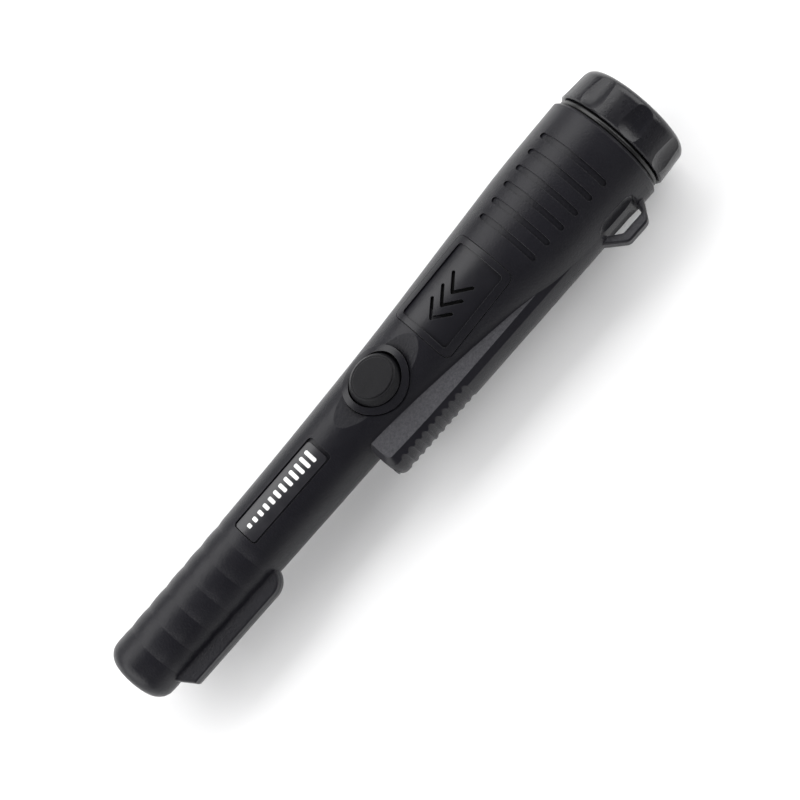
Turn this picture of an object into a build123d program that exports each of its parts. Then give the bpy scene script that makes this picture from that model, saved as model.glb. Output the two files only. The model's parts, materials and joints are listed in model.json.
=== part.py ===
from build123d import *
import math
import os

# Pinpointer probe. All sizes in millimetres.
# Frame: origin at the centre of the battery cap's flat end, +X to the sensing tip,
# +Y towards the keel, lanyard loop and scraping blade, +Z out of the button face.

# ---- driving dimensions ----
LENGTH = 240.0
COLLAR_X = 15.2              # open end of the housing, behind the cap
TIP_START_X = 181.0          # where the ringed probe end begins
TIP_Y = -0.75                # axis of the probe end, offset from the cap axis
TIP_R0 = 12.4
TIP_R1 = 11.7
TIP_CORNER = 5.2

# outer tube: (x, radius, y of centre)
TUBE = [
    (COLLAR_X, 20.95, 0.0),
    (42.0, 20.5, 0.35),
    (52.0, 20.1, 0.6),
    (61.0, 19.4, 0.5),
    (75.3, 17.75, -0.25),
    (105.3, 15.0, -1.0),
    (132.0, 13.35, -1.4),
    (158.0, 12.75, -1.0),
    (TIP_START_X, TIP_R0, TIP_Y),
]
# cavity for the electronics, same columns
CAVITY = [
    (60.0, 16.3, 0.2),
    (75.3, 15.5, -0.1),
    (105.3, 12.9, -1.0),
    (132.0, 11.3, -1.4),
    (158.0, 10.75, -1.0),
    (TIP_START_X, 10.4, TIP_Y),
]
CAVITY_END_X = 236.4
RING_SPACING = 8.0
# stretches of the tube that are cut to its own curve
GRIP_SPAN = (COLLAR_X, 65.0)
COVER_SPAN = (60.0, 106.0)
BUTTON_SPAN = (102.0, 134.0)
LABEL_SPAN = (140.0, TIP_START_X)

BAY_R = 16.3                 # battery bay
BAY_Y = 0.2
NECK_X = 3.0
NECK_R = 17.6
THREAD_PITCH = 2.5
THREAD_HEIGHT = 0.55
THREAD_BASE = 1.1

RING_X0 = 185.9              # shallow rings round the probe end
RING_PITCH = 8.4
RING_COUNT = 6
RING_DEPTH = 0.25

KEEL_FRONT_X = 135.5
KEEL_HALF = 7.96
KEEL_BOTTOM_Y = 21.2
KEEL_ARCH_R = 14.4
SERRATION_X0 = 101.9
SERRATION_PITCH = 3.12
SERRATION_COUNT = 10

STRAP_HALF = 2.2             # lanyard strap and its eye
EYE_Y0, EYE_Y1 = 19.35, 23.7
SCOOP_X0, SCOOP_X1 = 27.5, 34.5
SCOOP_Y = 24.6
SCOOP_R = 6.5

SLOT_X0 = 27.5               # grip slots across the handle
SLOT_PITCH = 6.2
SLOT_COUNT = 6
SLOT_WIDTH = 2.1
SLOT_DEPTH = 0.5

COVER_X0, COVER_X1 = 66.5, 99.1
COVER_Y = -0.55
COVER_HALF = 11.45
COVER_DEPTH = 1.6
WINDOW_X0, WINDOW_X1 = 68.9, 96.9
WINDOW_HALF = 9.15
CHEVRON_X0 = 81.8
CHEVRON_PITCH = 5.1
CHEVRON_DX = 5.0
CHEVRON_DY = 4.05
CHEVRON_STROKE = 1.15

LABEL_X0, LABEL_X1 = 144.6, 181.1
LABEL_Y = -1.1
LABEL_HALF = 4.87
LABEL_DEPTH = 0.75

BUTTON_X = 118.1
BUTTON_Y = -1.8
BEZEL_RX, BEZEL_RY = 11.5, 10.3
BEZEL_WALL = 2.15
SEAT_Z = 8.4                 # floor of the button pocket
SEAL_T = 0.5
BUTTON_TOP_Z = 16.7
THUMB_RX, THUMB_RY = 6.9, 5.8
BUTTON_TRAVEL = 0.7
STEM_R = 3.0
PLUNGER_TRAVEL = 0.3

BATTERY_X = 5.6
BATTERY_SIZE = (46.4, 26.5, 17.5)
TERMINAL_GAP = 12.7
LEAD_Y = (-4.5, 2.5)

BOARD_X0, BOARD_X1 = 64.0, 166.0
BOARD_Y = -1.0
BOARD_HALF = 8.6
BOARD_T = 1.6
BOARD_TOP = BOARD_T / 2
SCREW_X = (69.0, 163.0)

MOTOR_X0, MOTOR_X1 = 138.0, 150.0
MOTOR_R = 3.0
MOTOR_Z = BOARD_TOP + 3.5

LED_Y = 16.4
LED_R = 2.5

COIL_X0, COIL_X1 = 171.0, 233.0
ROD_R = 4.0


# ---- helpers ----
def cross_plane(x, y=0.0, z=0.0):
    """Plane square to the long axis, its own x along +Y and its own y along +Z."""
    return Plane(origin=(x, y, z), x_dir=(0, 1, 0), z_dir=(1, 0, 0))


def rod(x0, x1, radius, y=0.0, z=0.0):
    """Cylinder along X."""
    return extrude(cross_plane(x0, y, z) * Circle(radius), x1 - x0)


def post(x, y, z0, z1, radius):
    """Cylinder along Z."""
    return extrude(Plane.XY.offset(z0) * Pos(x, y) * Circle(radius), z1 - z0)


def block(x0, x1, y0, y1, z0, z1):
    size = Box(x1 - x0, y1 - y0, z1 - z0)
    return Pos((x0 + x1) / 2, (y0 + y1) / 2, (z0 + z1) / 2) * size


def oval(x, y, z0, z1, radius_x, radius_y):
    return extrude(Plane.XY.offset(z0) * Pos(x, y) * Ellipse(radius_x, radius_y), z1 - z0)


def tablet(x0, x1, y_mid, half, corner, z0=0.0, z1=30.0):
    """Rounded rectangle standing along Z."""
    outline = Pos((x0 + x1) / 2, y_mid) * RectangleRounded(x1 - x0, 2 * half, corner)
    return extrude(Plane.XY.offset(z0) * outline, z1 - z0)


def slope(sections, k, column):
    """Slope of a column at a section, from its neighbours."""
    before, after = sections[max(k - 1, 0)], sections[min(k + 1, len(sections) - 1)]
    return (after[column] - before[column]) / (after[0] - before[0])


def eased(sections, x):
    """Radius and centre height at x, on a cubic curve through the sections."""
    k = max(i for i in range(len(sections) - 1) if sections[i][0] <= x)
    start, end = sections[k], sections[k + 1]
    span = end[0] - start[0]
    t = (x - start[0]) / span
    values = []
    for column in (1, 2):
        leave = slope(sections, k, column) * span
        arrive = slope(sections, k + 1, column) * span
        values.append((2 * t ** 3 - 3 * t ** 2 + 1) * start[column] + (t ** 3 - 2 * t ** 2 + t) * leave
                      + (3 * t ** 2 - 2 * t ** 3) * end[column] + (t ** 3 - t ** 2) * arrive)
    return values


def tube(sections, offset=0.0, span=None):
    """Smooth tapered solid through round sections, or the part of it within a span of x."""
    x0, x1 = span or (sections[0][0], sections[-1][0])
    count = round((x1 - x0) / RING_SPACING)
    rings = []
    for k in range(count + 1):
        x = x0 + (x1 - x0) * k / count
        radius, y = eased(sections, x)
        rings.append(cross_plane(x, y) * Circle(radius + offset))
    return loft(rings)


def turned(points, y=0.0, z=0.0):
    """Solid of revolution from (x, radius) corners."""
    outline = make_face(Polyline(*[(x, r) for x, r in points], close=True))
    return Pos(0, y, z) * revolve(outline, Axis.X)


def wire_run(points, radius, corners):
    """Round wire along straight runs joined by arcs."""
    path = FilletPolyline(*points, radius=corners)
    section = Plane(origin=path @ 0, z_dir=path % 0) * Circle(radius)
    return sweep(section, path=path)


# ---- housing ----
def tip_radius(x):
    span = LENGTH - TIP_CORNER - TIP_START_X
    return TIP_R0 + (TIP_R1 - TIP_R0) * (x - TIP_START_X) / span


def probe_tip():
    """Closed probe end with shallow rings and a rounded nose."""
    notches = [RING_X0 + RING_PITCH * k for k in range(RING_COUNT)]
    start = (TIP_START_X, TIP_R0)
    shoulder_x = LENGTH - TIP_CORNER
    shoulder = (shoulder_x, TIP_R1)
    stops = [start] + [(x, tip_radius(x) - RING_DEPTH) for x in notches] + [shoulder]
    edges = [Line((TIP_START_X, 0), start)]
    for (xa, ra), (xb, rb) in zip(stops, stops[1:]):
        middle = (xa + xb) / 2
        edges.append(ThreePointArc((xa, ra), (middle, tip_radius(middle)), (xb, rb)))
    diagonal = TIP_CORNER * math.sqrt(0.5)
    nose_flat = (LENGTH - 0.25, TIP_R1 - TIP_CORNER)
    half_way = (shoulder_x + diagonal - 0.2, TIP_R1 - TIP_CORNER + diagonal)
    edges.append(ThreePointArc(shoulder, half_way, nose_flat))
    edges.append(Line(nose_flat, (LENGTH, 0)))
    edges.append(Line((LENGTH, 0), (TIP_START_X, 0)))
    return Pos(0, TIP_Y, 0) * revolve(make_face(edges), Axis.X)


def keel():
    """Deep rib that carries the lamp, with an arched, serrated underside."""
    arch_y = KEEL_BOTTOM_Y - KEEL_ARCH_R
    slab = block(18.0, KEEL_FRONT_X, 0, KEEL_BOTTOM_Y + 1, -KEEL_HALF, KEEL_HALF)
    arch = rod(17.0, KEEL_FRONT_X + 1, KEEL_ARCH_R, arch_y)
    core = block(18.0, KEEL_FRONT_X, 0, arch_y, -KEEL_HALF, KEEL_HALF)
    body = (slab & arch) + core
    front = body.faces().sort_by(Axis.X)[-1]
    nose = front.edges().sort_by(Axis.Y)[-1]
    body = fillet(nose, 3.2)
    sides = [e for e in body.edges().filter_by(Axis.Y) if e.center().X > KEEL_FRONT_X - 0.1]
    body = chamfer(sides, 1.7)
    for k in range(SERRATION_COUNT):
        x = SERRATION_X0 + SERRATION_PITCH * k
        body -= Pos(x, arch_y, 0) * Rot(0, 90, 0) * Torus(KEEL_ARCH_R + 1.25, 1.7)
    return body


def scraping_blade():
    """Thin rib under the probe end, slanted in front and rounded behind."""
    outer_y = 16.3
    edges = [
        Line((183.1, 8.0), (183.1, 11.0)),
        ThreePointArc((183.1, 11.0), (185.3, 14.7), (190.5, outer_y)),
        Line((190.5, outer_y), (226.6, outer_y)),
        Line((226.6, outer_y), (230.8, 10.6)),
        Line((230.8, 10.6), (230.8, 8.0)),
        Line((230.8, 8.0), (183.1, 8.0)),
    ]
    half = extrude(make_face(edges), 3.0, taper=5)
    rib = half + mirror(half, about=Plane.XY)
    rims = [e for e in rib.edges() if abs(abs(e.center().Z) - 3.0) < 0.01 and e.center().Y > 11.5]
    return fillet(rims, 0.5)


def lanyard_loop():
    """Flat strap under the collar that makes an eye for a lanyard."""
    outline = Polyline((41.2, 19.0), (41.2, 20.2), (34.2, 27.1), (25.4, 27.1), (20.2, 20.2),
                       (20.2, 19.0), close=True)
    face = make_face(outline)
    corners = face.vertices().sort_by(Axis.Y)[-2:]
    strap = extrude(fillet(corners, 3.0), STRAP_HALF, both=True)
    rims = [e for e in strap.edges() if abs(e.center().Z) > STRAP_HALF - 0.01 and e.center().Y > 21]
    return fillet(rims, 0.7)


def loop_hole():
    """Way through the eye, a rebate round it, and a scoop in the collar on each side."""
    outline = Polyline((38.4, EYE_Y0), (33.2, EYE_Y1), (24.6, EYE_Y1), (23.2, EYE_Y0), close=True)
    face = make_face(outline)
    face = fillet(face.vertices().sort_by(Axis.Y)[-2:], 1.2)
    eye = extrude(face, 12, both=True)
    rim = extrude(offset(face, 0.75), STRAP_HALF + 0.1, both=True)
    rim &= block(20, 42, EYE_Y0 + 0.4, 30, -3, 3)
    rim -= block(20, 42, 15, 30, -STRAP_HALF + 0.6, STRAP_HALF - 0.6)
    strap_room = block(18, 42, 17, 30, -STRAP_HALF, STRAP_HALF)
    space = eye + rim
    for side in (-1, 1):
        z = side * SCOOP_R
        scoop = rod(SCOOP_X0, SCOOP_X1, SCOOP_R, SCOOP_Y, z)
        scoop += Pos(SCOOP_X0, SCOOP_Y, z) * Sphere(SCOOP_R) + Pos(SCOOP_X1, SCOOP_Y, z) * Sphere(SCOOP_R)
        space += scoop - strap_room
    return space


def thumb_dish():
    """Shallow scoop that the button stands in."""
    return Pos(123.65, 0, 101.7) * Rot(90, 0, 0) * Cylinder(89.5, 60)


def grip_slots():
    slots = []
    for k in range(SLOT_COUNT):
        x = SLOT_X0 + SLOT_PITCH * k
        y = 0.3 + 0.14 * k
        half = 13.3 - 0.39 * k
        slot = Pos(x, y) * Rot(0, 0, 90) * SlotOverall(2 * half, SLOT_WIDTH)
        slots.append(extrude(slot, 30))
    floor = tube(TUBE, -SLOT_DEPTH, GRIP_SPAN)
    return [slot - floor for slot in slots]


def neck():
    """Threaded neck that the battery cap screws on."""
    return rod(NECK_X, COLLAR_X + 3, NECK_R)


def thread_ridge(radius, height, x0, x1, phase):
    """Helical ridge round X; a negative height points inwards."""
    turns = (x1 - x0) / THREAD_PITCH
    helix = Helix(pitch=THREAD_PITCH, height=THREAD_PITCH * turns, radius=radius)
    root = THREAD_BASE / 2
    crest = root * 0.45
    sink = -0.15 if height > 0 else 0.15
    section = Polyline((sink, -root), (height, -crest), (height, crest), (sink, root), close=True)
    plane = Plane(origin=helix @ 0, x_dir=(1, 0, 0), z_dir=helix % 0)
    ridge = sweep(plane * make_face(section), path=helix, is_frenet=True)
    return Pos(x0, 0, 0) * Rot(0, 90, 0) * Rot(0, 0, phase) * ridge


def inner_space():
    """Battery bay and electronics cavity, less the bosses that thicken the wall."""
    bay = rod(NECK_X - 1, 60.0, BAY_R, BAY_Y)
    probe = rod(TIP_START_X, CAVITY_END_X, CAVITY[-1][1], TIP_Y)
    space = bay + tube(CAVITY) + probe
    button_boss = block(BUTTON_X - 13.6, BUTTON_X + 13.6, -20, 20, SEAT_Z - 1.8, 20)
    cover_boss = block(COVER_X0 - 1.8, COVER_X1 + 1.8, -13.4, 12.4, 0, 20)
    cover_boss -= tube(TUBE, -3.5, COVER_SPAN)
    keel_pocket = block(68.0, 117.0, 5.0, 18.5, -5.6, 5.6)
    return space - button_boss - cover_boss + keel_pocket


def label_pocket():
    outline = tablet(LABEL_X0, LABEL_X1, LABEL_Y, LABEL_HALF, 1.2)
    return outline - tube(TUBE, -LABEL_DEPTH, LABEL_SPAN)


def lamp_bore():
    """Stepped bore in the keel's front face for the lamp, its lens and its leads."""
    lens_seat = rod(KEEL_FRONT_X - 2.0, KEEL_FRONT_X + 1, 3.9, LED_Y)
    return lens_seat + rod(116.0, KEEL_FRONT_X, 3.0, LED_Y)


def housing():
    outer = tube(TUBE)
    outer = chamfer(outer.edges().sort_by(Axis.X)[0], 0.9)
    body = outer + probe_tip() + keel() + scraping_blade() + lanyard_loop() + neck()
    body -= thumb_dish()
    body -= inner_space()
    body -= tablet(COVER_X0, COVER_X1, COVER_Y, COVER_HALF, 2.4) - tube(TUBE, -COVER_DEPTH, COVER_SPAN)
    body -= post(83.0, COVER_Y, 5.0, 20.0, 6.0)
    body -= label_pocket()
    body -= oval(BUTTON_X, BUTTON_Y, SEAT_Z, 30, BEZEL_RX + 0.22, BEZEL_RY + 0.22)
    body -= post(BUTTON_X, BUTTON_Y, 0, 20, STEM_R + 0.7)
    for slot in grip_slots():
        body -= slot
    body -= lamp_bore()
    body -= loop_hole()
    return body + thread_ridge(NECK_R, THREAD_HEIGHT, 4.6, 10.8, 0)


# ---- cap end ----
def battery_cap():
    """Screw cap with eight finger flutes and an inner thread."""
    corner = 3.2
    rim_x = 12.9
    rim_r = 20.6
    end_r = 19.9
    bend = corner * (1 - math.sqrt(0.5))
    edges = [
        Line((0, 0), (0, end_r - corner)),
        ThreePointArc((0, end_r - corner), (bend, end_r - bend), (corner, end_r)),
        Line((corner, end_r), (rim_x - 0.5, rim_r)),
        Line((rim_x - 0.5, rim_r), (rim_x, rim_r - 0.5)),
        Line((rim_x, rim_r - 0.5), (rim_x, 18.5)),
        Line((rim_x, 18.5), (2.3, 18.5)),
        Line((2.3, 18.5), (2.3, 0)),
        Line((2.3, 0), (0, 0)),
    ]
    cap = revolve(make_face(edges), Axis.X)
    flute_r = 13.0
    flute_depth = 0.8
    centre_r = end_r + 0.2 - flute_depth + flute_r
    for k in range(8):
        cutter = rod(-1, 8.2, flute_r, centre_r) + Pos(8.2, centre_r, 0) * Sphere(flute_r)
        cap -= Rot(45 * k + 20, 0, 0) * cutter
    inner = thread_ridge(18.5, -THREAD_HEIGHT, 4.6 + THREAD_PITCH / 2, 11.6, 0)
    return cap + inner


def battery_pad():
    """Foam disc that the cap presses on the battery."""
    return rod(2.45, 5.45, 15.6, BAY_Y)


def neck_seal():
    """Rubber ring on the neck, seen in the gap between cap and housing."""
    ring = Pos(14.05, 0, 0) * Rot(0, 90, 0) * Torus(18.6, 1.05)
    return ring - rod(10, 18, NECK_R + 0.01)


# ---- speaker ----
def chevron_cut(apex_x):
    """One V-shaped sound slot, pointing at the tip."""
    strokes = None
    for side in (-1, 1):
        angle = math.degrees(math.atan2(side * CHEVRON_DY, -CHEVRON_DX))
        length = math.hypot(CHEVRON_DX, CHEVRON_DY) + CHEVRON_STROKE
        middle = Pos(apex_x - CHEVRON_DX / 2, COVER_Y + side * CHEVRON_DY / 2)
        stroke = extrude(middle * Rot(0, 0, angle) * SlotOverall(length, CHEVRON_STROKE), 30)
        strokes = stroke if strokes is None else strokes + stroke
    return strokes


def speaker_cover():
    """Snap-in cover that follows the tube, with a sunken window and three sound slots."""
    plate = tablet(COVER_X0 + 0.15, COVER_X1 - 0.15, COVER_Y, COVER_HALF - 0.15, 2.25)
    plate = (plate & tube(TUBE, 0.1, COVER_SPAN)) - tube(TUBE, -COVER_DEPTH + 0.02, COVER_SPAN)
    window = tablet(WINDOW_X0, WINDOW_X1, COVER_Y - 0.1, WINDOW_HALF, 1.1)
    plate -= window - tube(TUBE, -0.55, COVER_SPAN)
    for k in range(3):
        plate -= chevron_cut(CHEVRON_X0 + CHEVRON_PITCH * k + CHEVRON_STROKE / 2)
    film_seat = post(83.0, COVER_Y, 5, 30, 7.6) & tube(TUBE, -COVER_DEPTH + 0.25, COVER_SPAN)
    return plate - film_seat


def speaker_membrane():
    """Waterproof film between the cover and the speaker port."""
    disc = post(83.0, COVER_Y, 5, 30, 7.4) & tube(TUBE, -COVER_DEPTH + 0.2, COVER_SPAN)
    return disc - tube(TUBE, -COVER_DEPTH + 0.03, COVER_SPAN)


def speaker_parts():
    x, y = 83.0, -0.7
    can = post(x, y, 6.4, 9.6, 9.0) - post(x, y, 7.2, 10, 8.2) - post(x, y, 6, 8, 4.2)
    cone = turned([(7.5, 0.05), (8.9, 7.9), (9.3, 7.9), (7.9, 0.05)])
    cone = Pos(x, y, 0) * Rot(0, -90, 0) * cone
    magnet = post(x, y, 4.4, 7.1, 4.1)
    return can, cone, magnet


# ---- button ----
def button_bezel():
    """Raised oval ring that clamps the rubber seal and follows the tube's curve."""
    ring = oval(BUTTON_X, BUTTON_Y, SEAT_Z + SEAL_T, 30, BEZEL_RX, BEZEL_RY)
    bore = oval(BUTTON_X, BUTTON_Y, 0, 30, BEZEL_RX - BEZEL_WALL, BEZEL_RY - BEZEL_WALL)
    return (ring - bore) & tube(TUBE, 0.8, BUTTON_SPAN)


def button_seal():
    seal = oval(BUTTON_X, BUTTON_Y, SEAT_Z, SEAT_Z + SEAL_T, BEZEL_RX - 0.1, BEZEL_RY - 0.1)
    return (seal & tube(TUBE, -0.2, BUTTON_SPAN)) - post(BUTTON_X, BUTTON_Y, 0, 20, STEM_R + 0.08)


def power_button():
    """Rubber button: straight skirt, sloped shoulder, raised flat thumb face and a stem."""
    low = SEAT_Z + SEAL_T + BUTTON_TRAVEL + 0.1
    shoulder = 13.4
    skirt_rx = BEZEL_RX - BEZEL_WALL - 0.3
    skirt_ry = BEZEL_RY - BEZEL_WALL - 0.3
    skirt = oval(BUTTON_X, BUTTON_Y, low, shoulder, skirt_rx, skirt_ry)
    base = Plane.XY.offset(shoulder) * Pos(BUTTON_X, BUTTON_Y) * Ellipse(skirt_rx, skirt_ry)
    dome_z = BUTTON_TOP_Z - 0.45
    top = Plane.XY.offset(dome_z) * Pos(BUTTON_X, BUTTON_Y) * Ellipse(7.7, 6.5)
    dome = fillet(loft([base, top]).edges().sort_by(Axis.Z)[-1], 0.3)
    face = oval(BUTTON_X, BUTTON_Y, dome_z - 0.5, BUTTON_TOP_Z, THUMB_RX, THUMB_RY)
    face = fillet(face.edges().sort_by(Axis.Z)[-1], 0.2)
    return skirt + dome + face + post(BUTTON_X, BUTTON_Y, 6.3, low + 0.5, STEM_R)


def switch_parts():
    body = block(BUTTON_X - 3, BUTTON_X + 3, BUTTON_Y - 3, BUTTON_Y + 3, BOARD_TOP, BOARD_TOP + 3.6)
    body -= post(BUTTON_X, BUTTON_Y, BOARD_TOP + 2.4, 10, 1.85)
    plunger = post(BUTTON_X, BUTTON_Y, BOARD_TOP + 2.8, 5.8, 1.75)
    return body, plunger


# ---- lamp ----
def lamp_parts():
    lens = rod(KEEL_FRONT_X - 1.95, KEEL_FRONT_X - 0.1, 3.85, LED_Y)
    bulb = rod(125.0, 130.6, LED_R, LED_Y) + Pos(130.6, LED_Y, 0) * Sphere(LED_R)
    bulb += rod(124.0, 125.0, 2.85, LED_Y)
    sleeve = rod(125.05, 129.8, 2.97, LED_Y) - rod(125, 130, LED_R + 0.02, LED_Y)
    return lens, bulb, sleeve


# ---- battery ----
def battery_parts():
    sx, sy, sz = BATTERY_SIZE
    cell = block(BATTERY_X, BATTERY_X + sx, BAY_Y - sy / 2, BAY_Y + sy / 2, -sz / 2, sz / 2)
    cell = fillet(cell.edges().filter_by(Axis.X), 2.0)
    end = BATTERY_X + sx
    left = BAY_Y - TERMINAL_GAP / 2
    right = BAY_Y + TERMINAL_GAP / 2
    terminals = [rod(end, end + 2.1, 2.85, left), rod(end, end + 2.1, 3.6, right)]
    clip = block(end + 0.1, end + 4.6, BAY_Y - 12.5, BAY_Y + 12.5, -4.4, 4.4)
    clip = fillet(clip.edges().filter_by(Axis.X), 2.0)
    clip -= rod(end, end + 2.3, 2.95, left) + rod(end, end + 2.3, 3.7, right)
    return cell, terminals, clip


def battery_leads():
    start = BATTERY_X + BATTERY_SIZE[0] + 4.6
    leads = []
    for y in LEAD_Y:
        points = [(start, y, 0), (59.9, y, 0), (63.4, y, 1.75), (66.9, y, 1.75)]
        leads.append(wire_run(points, 0.75, [4.0, 3.0]))
    return leads


def bulkhead():
    """Wall between the battery bay and the electronics."""
    wall = rod(58.2, 60.0, BAY_R - 0.05, BAY_Y)
    for y in LEAD_Y:
        wall -= block(57, 61, y - 1.3, y + 1.3, -1.3, 1.6)
    return wall


# ---- electronics ----
def screw_points():
    return [(x, BOARD_Y + y) for x in SCREW_X for y in (-5.8, 5.8)]


def main_board():
    low, high = BOARD_Y - BOARD_HALF, BOARD_Y + BOARD_HALF
    board = block(BOARD_X0, BOARD_X1, low, high, -BOARD_TOP, BOARD_TOP)
    for x, y in screw_points():
        board -= post(x, y, -2, 2, 1.15)
    return board


def board_tray():
    """Two grooved rails tied by cross bars, which slide into the housing."""
    tray = None
    for side in (-1, 1):
        inner = BOARD_Y + side * (BOARD_HALF - 0.6)
        outer = BOARD_Y + side * (BOARD_HALF + 1.0)
        low, high = min(inner, outer), max(inner, outer)
        rail = block(BOARD_X0, BOARD_X1, low, high, -2.9, 2.0)
        rail -= block(BOARD_X0 - 1, BOARD_X1 + 1, BOARD_Y - BOARD_HALF - 0.05,
                      BOARD_Y + BOARD_HALF + 0.05, -BOARD_TOP - 0.02, BOARD_TOP + 0.02)
        tray = rail if tray is None else tray + rail
    for x in (SCREW_X[0], 115.0, SCREW_X[1]):
        tray += block(x - 2.6, x + 2.6, BOARD_Y - BOARD_HALF, BOARD_Y + BOARD_HALF,
                      -2.9, -BOARD_TOP - 0.02)
    for x, y in screw_points():
        tray -= post(x, y, -4, 0, 0.85)
    return tray


def tray_screws():
    """Pan-head screws through the board into the tray."""
    screws = []
    for x, y in screw_points():
        head = post(x, y, BOARD_TOP, BOARD_TOP + 1.1, 1.8)
        head -= block(x - 1.2, x + 1.2, y - 0.2, y + 0.2, BOARD_TOP + 0.6, BOARD_TOP + 2)
        head -= block(x - 0.2, x + 0.2, y - 1.2, y + 1.2, BOARD_TOP + 0.6, BOARD_TOP + 2)
        screws.append(head + post(x, y, -2.8, BOARD_TOP, 0.83))
    return screws


def board_chips():
    chips = []
    for x, y, length, width in ((107.5, -1.0, 5.2, 6.4), (127.5, -3.5, 7.0, 7.0), (75.5, -1.0, 5.0, 4.0)):
        chips.append(block(x - length / 2, x + length / 2, y - width / 2, y + width / 2,
                           BOARD_TOP, BOARD_TOP + 1.3))
    return chips


def board_capacitors():
    return [post(96.5, y, BOARD_TOP, BOARD_TOP + 5.4, 2.5) for y in (-6.0, 4.0)]


def tuning_coils():
    """Drum-wound chokes of the oscillator."""
    coils = []
    for y in (-5.0, 3.0):
        drum = post(158.0, y, BOARD_TOP, BOARD_TOP + 4.0, 2.4)
        waist = post(158.0, y, BOARD_TOP + 0.7, BOARD_TOP + 3.3, 3) - post(158.0, y, 0, 6, 1.9)
        coils.append(drum - waist)
    return coils


def trimmer():
    """Small adjustable resistor with a slotted screw."""
    body = block(130.0, 135.6, 2.0, 7.0, BOARD_TOP, BOARD_TOP + 3.0)
    knob = post(132.8, 4.5, BOARD_TOP + 3.0, BOARD_TOP + 4.0, 1.6)
    return body + knob - block(131.4, 134.2, 4.3, 4.7, BOARD_TOP + 3.5, BOARD_TOP + 5)


def motor_parts():
    """Vibration motor: can, rubber cradle, and a half-moon weight on its shaft."""
    can = rod(MOTOR_X0, MOTOR_X1, MOTOR_R, BOARD_Y, MOTOR_Z)
    can -= rod(MOTOR_X1 - 3, MOTOR_X1 + 1, 0.56, BOARD_Y, MOTOR_Z)
    shaft = rod(MOTOR_X1 - 2.8, 155.0, 0.5, BOARD_Y, MOTOR_Z)
    weight = rod(151.0, 155.0, 2.6, BOARD_Y, MOTOR_Z)
    weight -= block(150, 156, BOARD_Y - 3, BOARD_Y + 3, MOTOR_Z + 0.45, MOTOR_Z + 4)
    cradle = block(MOTOR_X0 + 1.5, MOTOR_X1 - 1.5, BOARD_Y - 4.0, BOARD_Y + 4.0,
                   BOARD_TOP, MOTOR_Z - 0.4)
    cradle -= rod(MOTOR_X0, MOTOR_X1, MOTOR_R + 0.01, BOARD_Y, MOTOR_Z)
    return can, weight + shaft, cradle


def signal_leads():
    """Thin wires from the board to the speaker, lamp, motor and coils."""
    speaker = [
        wire_run([(79.0, y, 6.3), (79.0, y, 3.6), (76.2, y, 1.35), (71.5, y, 1.35)], 0.4, [1.4, 1.2])
        for y in (-5.6, 4.2)
    ]
    lamp = [
        wire_run([(123.95, LED_Y, z), (112.5, LED_Y, z), (106.0, 9.4, 2.7), (103.0, 5.4, 2.7),
                  (103.0, 4.0, 1.3)], 0.4, [4.0, 2.5, 0.8])
        for z in (-1.3, 1.3)
    ]
    motor = [
        wire_run([(137.95, y, MOTOR_Z), (136.6, y, MOTOR_Z), (135.4, y, 1.3), (133.6, y, 1.3)],
                 0.35, [0.9, 0.8])
        for y in (-2.4, 0.4)
    ]
    coils = [
        wire_run([(164.2, y, 1.25), (167.2, y, 1.25), (169.2, y, z), (170.95, y, z)], 0.35,
                 [1.5, 1.3])
        for y, z in ((-3.8, 2.6), (-2.4, 3.2), (0.4, 3.2), (1.8, 2.6))
    ]
    return speaker, lamp, motor, coils


# ---- search coil ----
def coil_parts():
    """Ferrite rod in a flanged bobbin, with transmit and receive windings."""
    flange_r = 8.2
    sleeve_r = ROD_R + 1.0
    flanges = [(COIL_X0, 172.5), (190.0, 191.2), (212.8, 214.0), (231.5, COIL_X1)]
    bobbin = rod(COIL_X0, COIL_X1, sleeve_r, TIP_Y)
    for x0, x1 in flanges:
        bobbin += rod(x0, x1, flange_r, TIP_Y)
    bobbin -= rod(COIL_X0 - 1, COIL_X1 + 1, ROD_R + 0.02, TIP_Y)
    core = rod(COIL_X0 + 0.5, COIL_X1 - 0.5, ROD_R, TIP_Y)
    winding_r = 7.4
    spans = [(a[1], b[0]) for a, b in zip(flanges, flanges[1:])]
    windings = []
    for x0, x1 in spans:
        layer = rod(x0 + 0.1, x1 - 0.1, winding_r, TIP_Y)
        windings.append(layer - rod(x0, x1, sleeve_r + 0.02, TIP_Y))
    return core, bobbin, windings


def coil_cushions():
    """Foam rings that centre the bobbin in the tube."""
    rings = []
    for x0, x1 in ((COIL_X0 + 0.1, 172.4), (231.6, COIL_X1 - 0.1)):
        rings.append(rod(x0, x1, 10.3, TIP_Y) - rod(x0 - 1, x1 + 1, 8.25, TIP_Y))
    return rings


def tip_plug():
    return rod(COIL_X1 + 0.1, CAVITY_END_X - 0.1, 9.6, TIP_Y)


def label_plate():
    """Inset nameplate, left plain."""
    plate = tablet(LABEL_X0 + 1.4, LABEL_X1 - 0.25, LABEL_Y, LABEL_HALF - 0.6, 1.0)
    return (plate & tube(TUBE, -0.2, LABEL_SPAN)) - tube(TUBE, -LABEL_DEPTH + 0.02, LABEL_SPAN)


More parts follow.
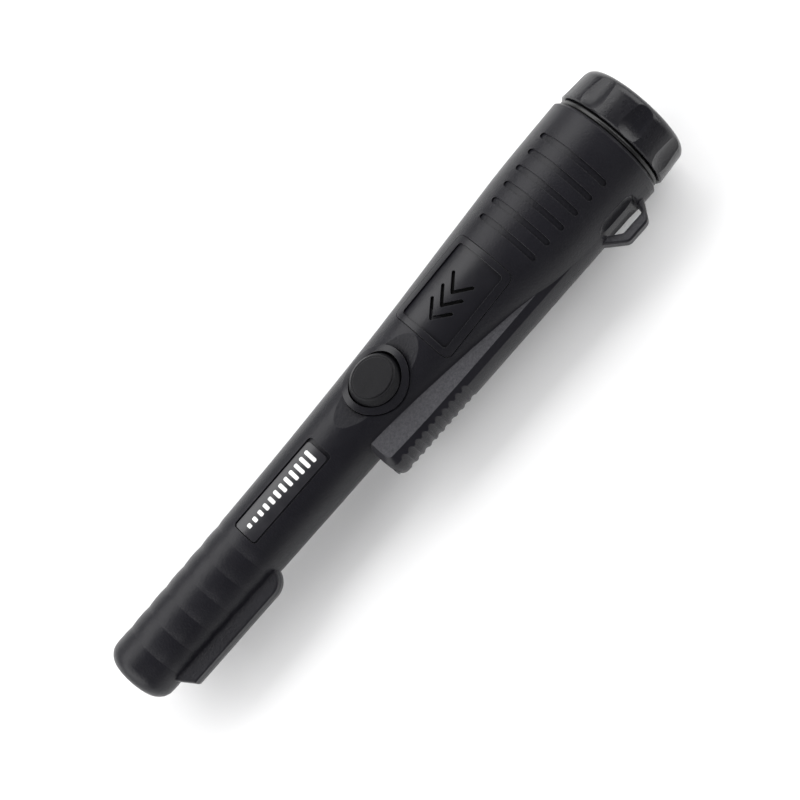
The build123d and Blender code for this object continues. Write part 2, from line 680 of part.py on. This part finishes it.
# ---- assembly ----
def all_parts():
    speaker_can, speaker_cone, speaker_magnet = speaker_parts()
    switch_body, switch_plunger = switch_parts()
    lamp_lens, lamp_bulb, lamp_sleeve = lamp_parts()
    battery, terminals, clip = battery_parts()
    lead_black, lead_red = battery_leads()
    motor_can, motor_weight, motor_cradle = motor_parts()
    ferrite, bobbin, windings = coil_parts()
    speaker_leads, lamp_leads, motor_leads, coil_leads = signal_leads()
    return {
        "housing": housing(),
        "neck_seal": neck_seal(),
        "battery_cap": battery_cap(),
        "battery_pad": battery_pad(),
        "speaker_cover": speaker_cover(),
        "speaker_membrane": speaker_membrane(),
        "speaker_basket": speaker_can,
        "speaker_cone": speaker_cone,
        "speaker_magnet": speaker_magnet,
        "button_bezel": button_bezel(),
        "button_seal": button_seal(),
        "power_button": power_button(),
        "switch_body": switch_body,
        "switch_plunger": switch_plunger,
        "label_plate": label_plate(),
        "lamp_lens": lamp_lens,
        "lamp_bulb": lamp_bulb,
        "lamp_sleeve": lamp_sleeve,
        "battery": battery,
        "battery_terminals": terminals,
        "battery_clip": clip,
        "battery_lead_black": lead_black,
        "battery_lead_red": lead_red,
        "bay_bulkhead": bulkhead(),
        "main_board": main_board(),
        "board_tray": board_tray(),
        "tray_screws": tray_screws(),
        "board_chips": board_chips(),
        "board_capacitors": board_capacitors(),
        "tuning_coils": tuning_coils(),
        "trimmer": trimmer(),
        "motor_can": motor_can,
        "motor_weight": motor_weight,
        "motor_cradle": motor_cradle,
        "speaker_leads": speaker_leads,
        "lamp_leads": lamp_leads,
        "motor_leads": motor_leads,
        "coil_leads": coil_leads,
        "ferrite_rod": ferrite,
        "coil_bobbin": bobbin,
        "receive_windings": [windings[0], windings[2]],
        "transmit_winding": windings[1],
        "coil_cushions": coil_cushions(),
        "tip_plug": tip_plug(),
    }


os.makedirs("parts", exist_ok=True)
for name, shape in all_parts().items():
    if isinstance(shape, list):
        shape = Compound(children=shape)
    export_step(shape, f"parts/{name}.step")
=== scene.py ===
import json
import math

import bpy
from mathutils import Matrix, Vector
from mathutils.bvhtree import BVHTree

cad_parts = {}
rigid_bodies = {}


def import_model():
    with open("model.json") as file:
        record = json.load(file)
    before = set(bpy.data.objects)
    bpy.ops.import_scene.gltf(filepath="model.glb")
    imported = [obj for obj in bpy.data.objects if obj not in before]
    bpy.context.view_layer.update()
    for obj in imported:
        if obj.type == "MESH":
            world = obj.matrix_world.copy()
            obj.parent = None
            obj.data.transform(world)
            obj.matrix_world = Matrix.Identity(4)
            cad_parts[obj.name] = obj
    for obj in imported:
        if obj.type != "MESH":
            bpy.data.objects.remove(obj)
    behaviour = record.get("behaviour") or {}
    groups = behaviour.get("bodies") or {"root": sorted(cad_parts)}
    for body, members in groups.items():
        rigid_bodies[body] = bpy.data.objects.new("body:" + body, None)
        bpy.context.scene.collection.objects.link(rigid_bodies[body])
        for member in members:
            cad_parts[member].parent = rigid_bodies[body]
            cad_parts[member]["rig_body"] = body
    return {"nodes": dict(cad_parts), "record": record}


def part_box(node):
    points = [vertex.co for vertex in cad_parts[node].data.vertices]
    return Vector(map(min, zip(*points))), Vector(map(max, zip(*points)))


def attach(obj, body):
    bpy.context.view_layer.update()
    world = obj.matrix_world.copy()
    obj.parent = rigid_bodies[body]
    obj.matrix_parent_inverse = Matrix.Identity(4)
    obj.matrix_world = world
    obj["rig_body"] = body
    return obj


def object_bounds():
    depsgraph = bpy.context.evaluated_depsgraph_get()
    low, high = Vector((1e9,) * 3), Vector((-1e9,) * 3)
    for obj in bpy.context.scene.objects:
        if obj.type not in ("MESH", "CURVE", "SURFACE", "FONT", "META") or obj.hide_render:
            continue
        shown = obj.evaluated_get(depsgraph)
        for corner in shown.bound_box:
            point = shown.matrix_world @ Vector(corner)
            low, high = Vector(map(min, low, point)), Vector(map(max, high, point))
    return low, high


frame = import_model()
for leftover in [o for o in bpy.data.objects if "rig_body" not in o and not o.name.startswith("body:")]:
    bpy.data.objects.remove(leftover)
CAD_LOW, CAD_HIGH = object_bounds()
NODES = frame["nodes"]
MM = 0.001

# Frame: +X to the sensing tip, +Y to the keel, +Z out of the button face, metres.

# keel's flat sides: how square a face is to Z, and where along Y and X they begin and end
KEEL_SQUARENESS = (0.985, 0.997)
KEEL_TOP_Y = (4.5 * MM, 6.5 * MM)
KEEL_FRONT_X = (136.5 * MM, 138.0 * MM)
KEEL_EXTRA_ROUGHNESS = 0.12

SOFT_EDGE = 0.2 * MM
CAPACITOR_RIM = 0.3 * MM

MARK_COUNT = 12
MARK_WIDTH = 1.35 * MM
MARK_CORNER = 0.35 * MM
MARK_END_MARGIN = 1.8 * MM
MARK_SHORTEST = 1.6
MARK_GROWTH = 3.2
MARK_SHIFT_Y = 0.35 * MM
MARK_LIFT = 0.05 * MM
MARK_SINK = 0.04 * MM


# ---- node helpers ----
class Finish:
    """A material's node tree, with short ways to add textures to it."""

    def __init__(self, name):
        self.material = bpy.data.materials.new(name)
        self.material.use_nodes = True
        self.tree = self.material.node_tree
        self.shader = self.tree.nodes["Principled BSDF"]
        self.coords = self.tree.nodes.new("ShaderNodeTexCoord").outputs["Object"]

    def node(self, kind, **values):
        made = self.tree.nodes.new(kind)
        for key, value in values.items():
            if hasattr(made, key):
                setattr(made, key, value)
            else:
                made.inputs[key].default_value = value
        return made

    def link(self, source, target):
        self.tree.links.new(source, target)

    def set(self, **values):
        names = {"metal": "Metallic", "ior": "IOR", "specular": "Specular IOR Level",
                 "coat": "Coat Weight", "coat_rough": "Coat Roughness", "sheen": "Sheen Weight",
                 "sheen_rough": "Sheen Roughness", "transmission": "Transmission Weight",
                 "subsurface": "Subsurface Weight"}
        for key, value in values.items():
            self.shader.inputs[names[key]].default_value = value

    def noise(self, size, detail=4.0, roughness=0.55, stretch=(1, 1, 1)):
        """Noise whose features are about size metres across."""
        mapping = self.node("ShaderNodeMapping")
        mapping.inputs["Scale"].default_value = stretch
        self.link(self.coords, mapping.inputs["Vector"])
        texture = self.node("ShaderNodeTexNoise", Scale=1 / size, Detail=detail, Roughness=roughness)
        self.link(mapping.outputs["Vector"], texture.inputs["Vector"])
        return texture.outputs["Fac"]

    def multiply(self, first, second):
        product = self.node("ShaderNodeMath", operation="MULTIPLY")
        self.link(first, product.inputs[0])
        self.link(second, product.inputs[1])
        return product.outputs[0]

    def cells(self, size):
        """Rounded cells about size metres across."""
        texture = self.node("ShaderNodeTexVoronoi", feature="F1", Scale=1 / size)
        self.link(self.coords, texture.inputs["Vector"])
        return texture.outputs["Distance"]

    def bands(self, pitch, axis="X"):
        """Parallel bands with the given pitch."""
        texture = self.node("ShaderNodeTexWave", wave_type="BANDS", bands_direction=axis,
                            wave_profile="SIN", Scale=math.tau / 20 / pitch)
        self.link(self.coords, texture.inputs["Vector"])
        return texture.outputs["Fac"]

    def ramp(self, source, low, high, stops=(0.35, 0.65)):
        """Values from low to high as the source goes between the stops."""
        ranged = self.node("ShaderNodeMapRange")
        for socket, value in zip(("From Min", "From Max", "To Min", "To Max"), (*stops, low, high)):
            ranged.inputs[socket].default_value = value
        self.link(source, ranged.inputs["Value"])
        return ranged.outputs["Result"]

    def colours(self, source, *stops):
        """Colour ramp through (position, colour) stops."""
        ramp = self.node("ShaderNodeValToRGB")
        elements = ramp.color_ramp.elements
        while len(elements) < len(stops):
            elements.new(0.5)
        for element, (position, colour) in zip(elements, stops):
            element.position = position
            element.color = (*colour, 1)
        self.link(source, ramp.inputs["Fac"])
        return ramp.outputs["Color"]

    def relief(self, layers, rounding=0.0):
        """Chains bump layers (height source, depth in metres), over softened edges if rounding is set."""
        normal = None
        if rounding:
            normal = self.node("ShaderNodeBevel", samples=6, Radius=rounding).outputs["Normal"]
        for source, depth in layers:
            bump = self.node("ShaderNodeBump", Strength=1.0, Distance=depth)
            self.link(source, bump.inputs["Height"])
            if normal is not None:
                self.link(normal, bump.inputs["Normal"])
            normal = bump.outputs["Normal"]
        self.link(normal, self.shader.inputs["Normal"])

    def base(self, source):
        self.link(source, self.shader.inputs["Base Color"])

    def roughness(self, source):
        self.link(source, self.shader.inputs["Roughness"])


def grey(value, blue=0.0):
    return (value, value * (1 - blue * 0.1), value * (1 + blue))


# ---- plastics and rubbers ----
def moulded(name, dark, light, rough, grain, depth):
    """Injection-moulded plastic: spark-eroded grain, flow marks and handling wear."""
    finish = Finish(name)
    finish.set(specular=0.34)
    blotch = finish.noise(0.011, detail=5)
    finish.base(finish.colours(blotch, (0.3, dark), (0.7, light)))
    fine = finish.noise(grain, detail=3, roughness=0.65)
    smear = finish.noise(0.006, detail=6, roughness=0.7, stretch=(0.35, 1, 1))
    finish.roughness(finish.ramp(smear, rough - 0.05, rough + 0.06, (0.3, 0.7)))
    swell = finish.noise(0.009, detail=1)
    finish.relief([(swell, 0.00005), (fine, depth)], 0.00018)
    return finish.material


def housing_plastic():
    """Satin black shell, with a coarser and paler spark finish on the keel's flat sides."""
    finish = Finish("housing_satin_plastic")
    finish.set(specular=0.26)
    place = finish.node("ShaderNodeSeparateXYZ")
    finish.link(finish.coords, place.inputs[0])
    facing = finish.node("ShaderNodeSeparateXYZ")
    finish.link(finish.node("ShaderNodeTexCoord").outputs["Normal"], facing.inputs[0])
    flat = finish.node("ShaderNodeMath", operation="ABSOLUTE")
    finish.link(facing.outputs["Z"], flat.inputs[0])
    side_face = finish.ramp(flat.outputs[0], 0.0, 1.0, KEEL_SQUARENESS)
    below = finish.ramp(place.outputs["Y"], 0.0, 1.0, KEEL_TOP_Y)
    behind = finish.ramp(place.outputs["X"], 1.0, 0.0, KEEL_FRONT_X)
    mask = finish.multiply(finish.multiply(side_face, below), behind)
    blotch = finish.noise(0.011, detail=5)
    smooth_tone = finish.colours(blotch, (0.3, grey(0.0075, 0.32)), (0.7, grey(0.0102, 0.28)))
    speckle = finish.noise(0.0009, detail=6, roughness=0.75)
    matt_tone = finish.colours(speckle, (0.32, grey(0.028, 0.14)), (0.68, grey(0.058, 0.10)))
    tone = finish.node("ShaderNodeMix", data_type="RGBA")
    finish.link(mask, tone.inputs["Factor"])
    finish.link(smooth_tone, tone.inputs["A"])
    finish.link(matt_tone, tone.inputs["B"])
    finish.base(tone.outputs["Result"])
    smear = finish.noise(0.006, detail=6, roughness=0.7, stretch=(0.35, 1, 1))
    satin = finish.ramp(smear, 0.31, 0.40, (0.3, 0.7))
    rough = finish.node("ShaderNodeMath", operation="MULTIPLY_ADD")
    finish.link(mask, rough.inputs[0])
    rough.inputs[1].default_value = KEEL_EXTRA_ROUGHNESS
    finish.link(satin, rough.inputs[2])
    finish.roughness(rough.outputs[0])
    swell = finish.noise(0.009, detail=1)
    grain = finish.noise(0.00065, detail=4, roughness=0.6)
    spark = finish.multiply(speckle, mask)
    finish.relief([(swell, 0.00005), (grain, 0.0001), (spark, 0.0001)], SOFT_EDGE)
    return finish.material


def cap_plastic():
    return moulded("cap_semi_gloss_plastic", grey(0.0070, 0.28), grey(0.0095, 0.24), 0.27, 0.0011, 0.00007)


def cover_plastic():
    return moulded("cover_satin_plastic", grey(0.0072, 0.30), grey(0.0098, 0.26), 0.33, 0.0004, 0.00004)


def button_rubber():
    finish = Finish("button_silicone")
    finish.set(specular=0.22)
    dust = finish.noise(0.0035, detail=8, roughness=0.7)
    finish.base(finish.colours(dust, (0.35, grey(0.0050, 0.22)), (0.75, grey(0.0075, 0.18))))
    finish.roughness(finish.ramp(dust, 0.44, 0.56))
    finish.relief([(finish.noise(0.00035, detail=2), 0.00004)], 0.0003)
    return finish.material


def seal_rubber():
    finish = Finish("seal_rubber")
    finish.set(specular=0.5)
    streak = finish.noise(0.004, detail=6)
    finish.base(finish.colours(streak, (0.3, grey(0.008)), (0.8, grey(0.016))))
    finish.roughness(finish.ramp(streak, 0.30, 0.42))
    finish.relief([(finish.noise(0.0006, detail=3), 0.00003)])
    return finish.material


def label_plastic():
    finish = Finish("label_plate_plastic")
    finish.set(specular=0.5, coat=0.15, coat_rough=0.25)
    haze = finish.noise(0.005, detail=6, roughness=0.65)
    finish.base(finish.colours(haze, (0.3, grey(0.012, 0.22)), (0.75, grey(0.017, 0.18))))
    finish.roughness(finish.ramp(haze, 0.30, 0.38))
    finish.relief([(finish.noise(0.00035, detail=2), 0.00002)], 0.00012)
    return finish.material


def white_print():
    finish = Finish("white_pad_print")
    finish.set(specular=0.4)
    wear = finish.noise(0.0007, detail=5, roughness=0.7)
    finish.base(finish.colours(wear, (0.28, (0.42, 0.42, 0.41)), (0.42, (0.80, 0.80, 0.79))))
    finish.roughness(finish.ramp(wear, 0.5, 0.62))
    finish.relief([(finish.noise(0.0004, detail=2), 0.00002)])
    return finish.material


def component_black():
    finish = Finish("component_epoxy")
    finish.set(specular=0.45)
    cloud = finish.noise(0.0025, detail=5)
    finish.base(finish.colours(cloud, (0.3, grey(0.018)), (0.7, grey(0.032))))
    finish.roughness(finish.ramp(cloud, 0.45, 0.6))
    finish.relief([(finish.noise(0.0003, detail=3), 0.00003)], 0.00015)
    return finish.material


def tray_plastic():
    finish = Finish("natural_nylon")
    finish.set(specular=0.4, subsurface=0.1)
    cloud = finish.noise(0.008, detail=4)
    finish.base(finish.colours(cloud, (0.3, (0.50, 0.49, 0.43)), (0.7, (0.62, 0.61, 0.55))))
    finish.roughness(finish.ramp(cloud, 0.42, 0.55))
    finish.relief([(finish.noise(0.0006, detail=3), 0.00004)], 0.0002)
    return finish.material


def trimmer_blue():
    finish = Finish("trimmer_case")
    cloud = finish.noise(0.002, detail=4)
    finish.base(finish.colours(cloud, (0.3, (0.012, 0.07, 0.33)), (0.7, (0.02, 0.11, 0.45))))
    finish.roughness(finish.ramp(cloud, 0.26, 0.38))
    finish.relief([(finish.noise(0.0004, detail=2), 0.00002)], 0.0001)
    return finish.material


# ---- soft and thin pieces ----
def foam():
    finish = Finish("open_cell_foam")
    finish.set(specular=0.2, sheen=0.2, sheen_rough=0.6)
    pore_pits_and_shade = finish.cells(0.0009)
    # the pore centres, which the bump sinks into pits, are painted darker than the cell walls: painted
    # shade in the pores
    finish.base(finish.colours(pore_pits_and_shade, (0.1, grey(0.03)), (0.6, grey(0.13))))
    finish.roughness(finish.ramp(pore_pits_and_shade, 0.85, 0.95, (0, 1)))
    finish.relief([(pore_pits_and_shade, 0.0005), (finish.noise(0.0003, detail=3), 0.0001)])
    return finish.material


def film():
    finish = Finish("woven_film")
    finish.set(specular=0.08)
    warp = finish.bands(0.00035, "X")
    weft = finish.bands(0.00035, "Y")
    weave = finish.node("ShaderNodeMath", operation="MULTIPLY")
    finish.link(warp, weave.inputs[0])
    finish.link(weft, weave.inputs[1])
    finish.base(finish.colours(weave.outputs[0], (0.1, grey(0.002)), (0.9, grey(0.007))))
    finish.roughness(finish.ramp(weave.outputs[0], 0.55, 0.75, (0, 1)))
    finish.relief([(weave.outputs[0], 0.0001)])
    return finish.material


def wire(name, dark, light):
    finish = Finish(name)
    scuff = finish.noise(0.0015, detail=6, stretch=(0.4, 1, 1))
    finish.base(finish.colours(scuff, (0.3, dark), (0.75, light)))
    finish.roughness(finish.ramp(scuff, 0.32, 0.48))
    finish.relief([(finish.noise(0.0005, detail=2), 0.00003)])
    return finish.material


# ---- clear pieces ----
def clear_lens():
    finish = Finish("clear_lens")
    finish.set(transmission=1.0, ior=1.49)
    haze = finish.noise(0.002, detail=5)
    finish.base(finish.colours(haze, (0.3, (0.86, 0.90, 0.95)), (0.8, (0.95, 0.97, 1.0))))
    finish.roughness(finish.ramp(haze, 0.03, 0.10))
    finish.relief([(finish.noise(0.0012, detail=2), 0.00002)])
    return finish.material


# ---- metals, board and windings ----
def steel():
    finish = Finish("plated_steel")
    finish.set(metal=1.0)
    brush = finish.noise(0.0006, detail=6, stretch=(0.15, 1, 1))
    finish.base(finish.colours(brush, (0.3, grey(0.50, 0.03)), (0.7, grey(0.66, 0.02))))
    finish.roughness(finish.ramp(brush, 0.22, 0.38))
    finish.relief([(brush, 0.00001)], 0.00012)
    return finish.material


def sleeve_aluminium():
    finish = Finish("capacitor_sleeve")
    height = finish.node("ShaderNodeSeparateXYZ")
    finish.link(finish.coords, height.inputs[0])
    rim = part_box("board_capacitors")[1].z - CAPACITOR_RIM
    blend = finish.ramp(height.outputs["Z"], 0.0, 1.0, (rim, rim + 0.05 * MM))
    finish.base(finish.colours(blend, (0.4, (0.03, 0.035, 0.06)), (0.6, (0.62, 0.62, 0.64))))
    finish.link(blend, finish.shader.inputs["Metallic"])
    finish.roughness(finish.ramp(finish.noise(0.001), 0.25, 0.4))
    finish.relief([(finish.noise(0.0006), 0.00002)], 0.0002)
    return finish.material


def ferrite():
    finish = Finish("sintered_ferrite")
    finish.set(specular=0.55)
    grit = finish.noise(0.0006, detail=8, roughness=0.7)
    finish.base(finish.colours(grit, (0.3, grey(0.03)), (0.7, grey(0.075, 0.05))))
    finish.roughness(finish.ramp(grit, 0.38, 0.6))
    finish.relief([(grit, 0.00006)], 0.0002)
    return finish.material


def board_green():
    finish = Finish("solder_masked_board")
    finish.set(specular=0.5, coat=0.4, coat_rough=0.12)
    tracks = finish.node("ShaderNodeTexBrick", Scale=1.0, offset=0.37, squash=1.0)
    for socket, value in (("Brick Width", 0.0042), ("Row Height", 0.0013), ("Mortar Size", 0.00022)):
        tracks.inputs[socket].default_value = value
    finish.link(finish.coords, tracks.inputs["Vector"])
    mask_green, track_green = (0.008, 0.085, 0.030), (0.03, 0.20, 0.075)
    finish.base(finish.colours(tracks.outputs["Fac"], (0.2, mask_green), (0.8, track_green)))
    finish.roughness(finish.ramp(finish.noise(0.003), 0.28, 0.4))
    finish.relief([(tracks.outputs["Fac"], 0.00004)])
    return finish.material


def winding():
    finish = Finish("enamelled_winding_wire")
    finish.set(metal=0.85, coat=0.5, coat_rough=0.15)
    turns = finish.bands(0.00045, "X")
    mottled = finish.noise(0.0012, detail=4, stretch=(3, 0.6, 0.6))
    finish.base(finish.colours(mottled, (0.3, (0.36, 0.12, 0.035)), (0.7, (0.62, 0.25, 0.08))))
    finish.roughness(finish.ramp(turns, 0.25, 0.5, (0, 1)))
    finish.relief([(turns, 0.0002)])
    return finish.material


def battery_jacket():
    """Steel can in a printed wrap: two tones with a fine line between, no wording."""
    finish = Finish("battery_wrap")
    finish.set(metal=0.6, specular=0.5, coat=0.5, coat_rough=0.1)
    low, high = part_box("battery")
    place = finish.node("ShaderNodeSeparateXYZ")
    finish.link(finish.coords, place.inputs[0])
    along = finish.ramp(place.outputs["X"], 0.0, 1.0, (low.x, high.x))
    bands = finish.colours(along, (0.02, (0.45, 0.46, 0.48)), (0.035, (0.02, 0.035, 0.06)),
                           (0.66, (0.02, 0.035, 0.06)), (0.675, (0.55, 0.42, 0.20)),
                           (0.965, (0.55, 0.42, 0.20)), (0.98, (0.45, 0.46, 0.48)))
    finish.base(bands)
    finish.roughness(finish.ramp(finish.noise(0.002, detail=6), 0.22, 0.36))
    finish.relief([(finish.noise(0.012, detail=2), 0.0001)])
    return finish.material


SLOT_FINISHES = {
    "housing_plastic": housing_plastic,
    "cap_plastic": cap_plastic,
    "cover_plastic": cover_plastic,
    "button_rubber": button_rubber,
    "rubber": seal_rubber,
    "label_plastic": label_plastic,
    "clear_lens": clear_lens,
    "film": film,
    "foam": foam,
    "steel": steel,
    "aluminium": sleeve_aluminium,
    "magnet": ferrite,
    "component_black": component_black,
    "battery_jacket": battery_jacket,
    "wire_black": lambda: wire("black_wire_insulation", grey(0.012), grey(0.022)),
    "wire_red": lambda: wire("red_wire_insulation", (0.30, 0.012, 0.010), (0.46, 0.025, 0.02)),
    "board_green": board_green,
    "tray_plastic": tray_plastic,
    "trimmer_blue": trimmer_blue,
    "copper": winding,
}


def dress_nodes():
    """Gives every CAD node the finish of its record slot."""
    slots = {part["node"]: part["material_slot"] for part in frame["record"]["subparts"]}
    made = {slot: build() for slot, build in SLOT_FINISHES.items()}
    for node, thing in NODES.items():
        for place in thing.material_slots:
            place.material = made[slots[node]]


# ---- printed marks on the label plate ----
def surface_of(node):
    mesh = NODES[node].data
    return BVHTree.FromPolygons([v.co for v in mesh.vertices], [p.vertices for p in mesh.polygons])


def printed_bar(surface, x, y, width, height, corner):
    """Vertices and faces of one thin raised bar that follows the surface below it."""
    across, along = 6, 16
    vertices, faces = [], []
    for level in (MARK_LIFT, -MARK_SINK):
        for i in range(across + 1):
            for j in range(along + 1):
                u = (2 * i / across - 1) * width / 2
                v = (2 * j / along - 1) * height / 2
                over = max(0.0, abs(v) - (height / 2 - corner))
                room = width / 2 - corner + math.sqrt(max(0.0, corner ** 2 - over ** 2))
                u *= room / (width / 2)
                hit = surface.ray_cast(Vector((x + u, y + v, 0.1)), Vector((0, 0, -1)))[0]
                vertices.append(hit + Vector((0, 0, level)))
    layer = (across + 1) * (along + 1)

    def index(i, j, bottom=0):
        return bottom * layer + i * (along + 1) + j

    for i in range(across):
        for j in range(along):
            faces.append((index(i, j), index(i + 1, j), index(i + 1, j + 1), index(i, j + 1)))
            faces.append((index(i, j, 1), index(i, j + 1, 1), index(i + 1, j + 1, 1), index(i + 1, j, 1)))
    rim = [(i, 0) for i in range(across)] + [(across, j) for j in range(along)]
    rim += [(i, along) for i in range(across, 0, -1)] + [(0, j) for j in range(along, 0, -1)]
    for a, b in zip(rim, rim[1:] + rim[:1]):
        faces.append((index(*b), index(*a), index(*a, 1), index(*b, 1)))
    return vertices, faces


def label_marks():
    """Generic signal-strength scale: white bars that grow towards the button."""
    low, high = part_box("label_plate")
    surface = surface_of("label_plate")
    pitch = (high.x - low.x - 2 * MARK_END_MARGIN) / MARK_COUNT
    y = (low.y + high.y) / 2 - MARK_SHIFT_Y
    vertices, faces = [], []
    for k in range(MARK_COUNT):
        x = high.x - MARK_END_MARGIN - pitch * (k + 0.5)
        height = (MARK_SHORTEST + MARK_GROWTH * k / (MARK_COUNT - 1)) * MM
        bar_vertices, bar_faces = printed_bar(surface, x, y, MARK_WIDTH, height, MARK_CORNER)
        shift = len(vertices)
        vertices += bar_vertices
        faces += [tuple(v + shift for v in face) for face in bar_faces]
    mesh = bpy.data.meshes.new("label_marks")
    mesh.from_pydata(vertices, [], faces)
    mesh.materials.append(white_print())
    marks = bpy.data.objects.new("label_marks", mesh)
    bpy.context.scene.collection.objects.link(marks)
    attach(marks, "housing")


# ---- stage ----
CENTRE = (CAD_LOW + CAD_HIGH) / 2
VIEW_TILT = math.radians(18.0)
VIEW_ROLL = math.radians(48.7)
VIEW_SIDEWAYS = math.radians(-0.88)
VIEW_DISTANCE = 0.512
LENS = 72.9
SENSOR = 36.0
AIM = Vector((CENTRE.x - 2.1 * MM, 3.9 * MM, -1.3 * MM))
FLOOR_HALF = 3.0
FLOOR_STEPS = 24
FLOOR_FLAT_RADIUS = 2.0
FLOOR_CURL = 0.35
FLOOR_GAP = 0.02 * MM


def camera():
    """Looks down on the button face, leaning 18 degrees to the keel side, cap to the upper right."""
    back = Vector((math.sin(VIEW_SIDEWAYS), math.sin(VIEW_TILT), math.cos(VIEW_TILT))).normalized()
    towards_cap = Vector((-1, 0, 0))
    towards_cap = (towards_cap - towards_cap.dot(back) * back).normalized()
    turned = back.cross(towards_cap)
    right = math.cos(VIEW_ROLL) * towards_cap - math.sin(VIEW_ROLL) * turned
    up = math.sin(VIEW_ROLL) * towards_cap + math.cos(VIEW_ROLL) * turned
    data = bpy.data.cameras.new("camera")
    data.lens = LENS
    data.sensor_width = SENSOR
    data.clip_start = 0.01
    thing = bpy.data.objects.new("camera", data)
    bpy.context.scene.collection.objects.link(thing)
    thing.matrix_world = Matrix.Translation(AIM + back * VIEW_DISTANCE) @ Matrix(
        (right, up, back)).transposed().to_4x4()
    bpy.context.scene.camera = thing


def softbox(name, lean, swing, distance, width, length, radiance):
    """Rectangular light aimed at the object. lean is degrees from overhead towards +Y, swing towards +X."""
    lean, swing = math.radians(lean), math.radians(swing)
    back = Vector((math.sin(swing), math.cos(swing) * math.sin(lean), math.cos(swing) * math.cos(lean)))
    data = bpy.data.lights.new(name, "AREA")
    data.shape = "RECTANGLE"
    data.size = length
    data.size_y = width
    data.energy = radiance * math.pi * width * length
    thing = bpy.data.objects.new(name, data)
    bpy.context.scene.collection.objects.link(thing)
    side = Vector((1, 0, 0)) - back.x * back
    side = side.normalized() if side.length > 0.2 else Vector((0, 1, 0)).cross(back).normalized()
    thing.matrix_world = Matrix.Translation(CENTRE + back * distance) @ Matrix(
        (side, back.cross(side), back)).transposed().to_4x4()


def lights():
    softbox("key_softbox", -46, 0, 0.80, 0.62, 1.30, 3.1)
    softbox("cap_end_softbox", 6, -60, 0.90, 1.3, 0.7, 3.2)
    softbox("tip_end_softbox", 6, 60, 0.90, 1.3, 0.7, 3.2)
    softbox("fill_softbox", 80, 0, 0.90, 0.4, 1.2, 0.25)
    world = bpy.data.worlds.new("studio")
    bpy.context.scene.world = world
    world.use_nodes = True
    world.node_tree.nodes["Background"].inputs["Color"].default_value = (0.09, 0.09, 0.095, 1)


def floor():
    """Large pale sheet under the object, curving up far behind it."""
    mesh = bpy.data.meshes.new("floor")
    vertices = []
    for i in range(FLOOR_STEPS + 1):
        for j in range(FLOOR_STEPS + 1):
            x = FLOOR_HALF * (2 * i / FLOOR_STEPS - 1)
            y = FLOOR_HALF * (2 * j / FLOOR_STEPS - 1)
            rise = max(0.0, math.hypot(x, y) - FLOOR_FLAT_RADIUS)
            vertices.append((CENTRE.x + x, y, CAD_LOW.z - FLOOR_GAP + FLOOR_CURL * rise ** 2))
    faces = []
    row = FLOOR_STEPS + 1
    for i in range(FLOOR_STEPS):
        for j in range(FLOOR_STEPS):
            first = i * row + j
            faces.append((first, first + row, first + row + 1, first + 1))
    mesh.from_pydata(vertices, [], faces)
    mesh.shade_smooth()
    finish = Finish("pale_floor")
    finish.set(specular=0.1)
    paper = finish.noise(0.05, detail=3)
    finish.base(finish.colours(paper, (0.3, grey(0.90)), (0.7, grey(0.92))))
    finish.roughness(finish.ramp(paper, 0.85, 0.92))
    mesh.materials.append(finish.material)
    thing = bpy.data.objects.new("floor", mesh)
    bpy.context.scene.collection.objects.link(thing)


dress_nodes()
label_marks()
floor()
lights()
camera()
bpy.context.scene.view_settings.view_transform = "Standard"
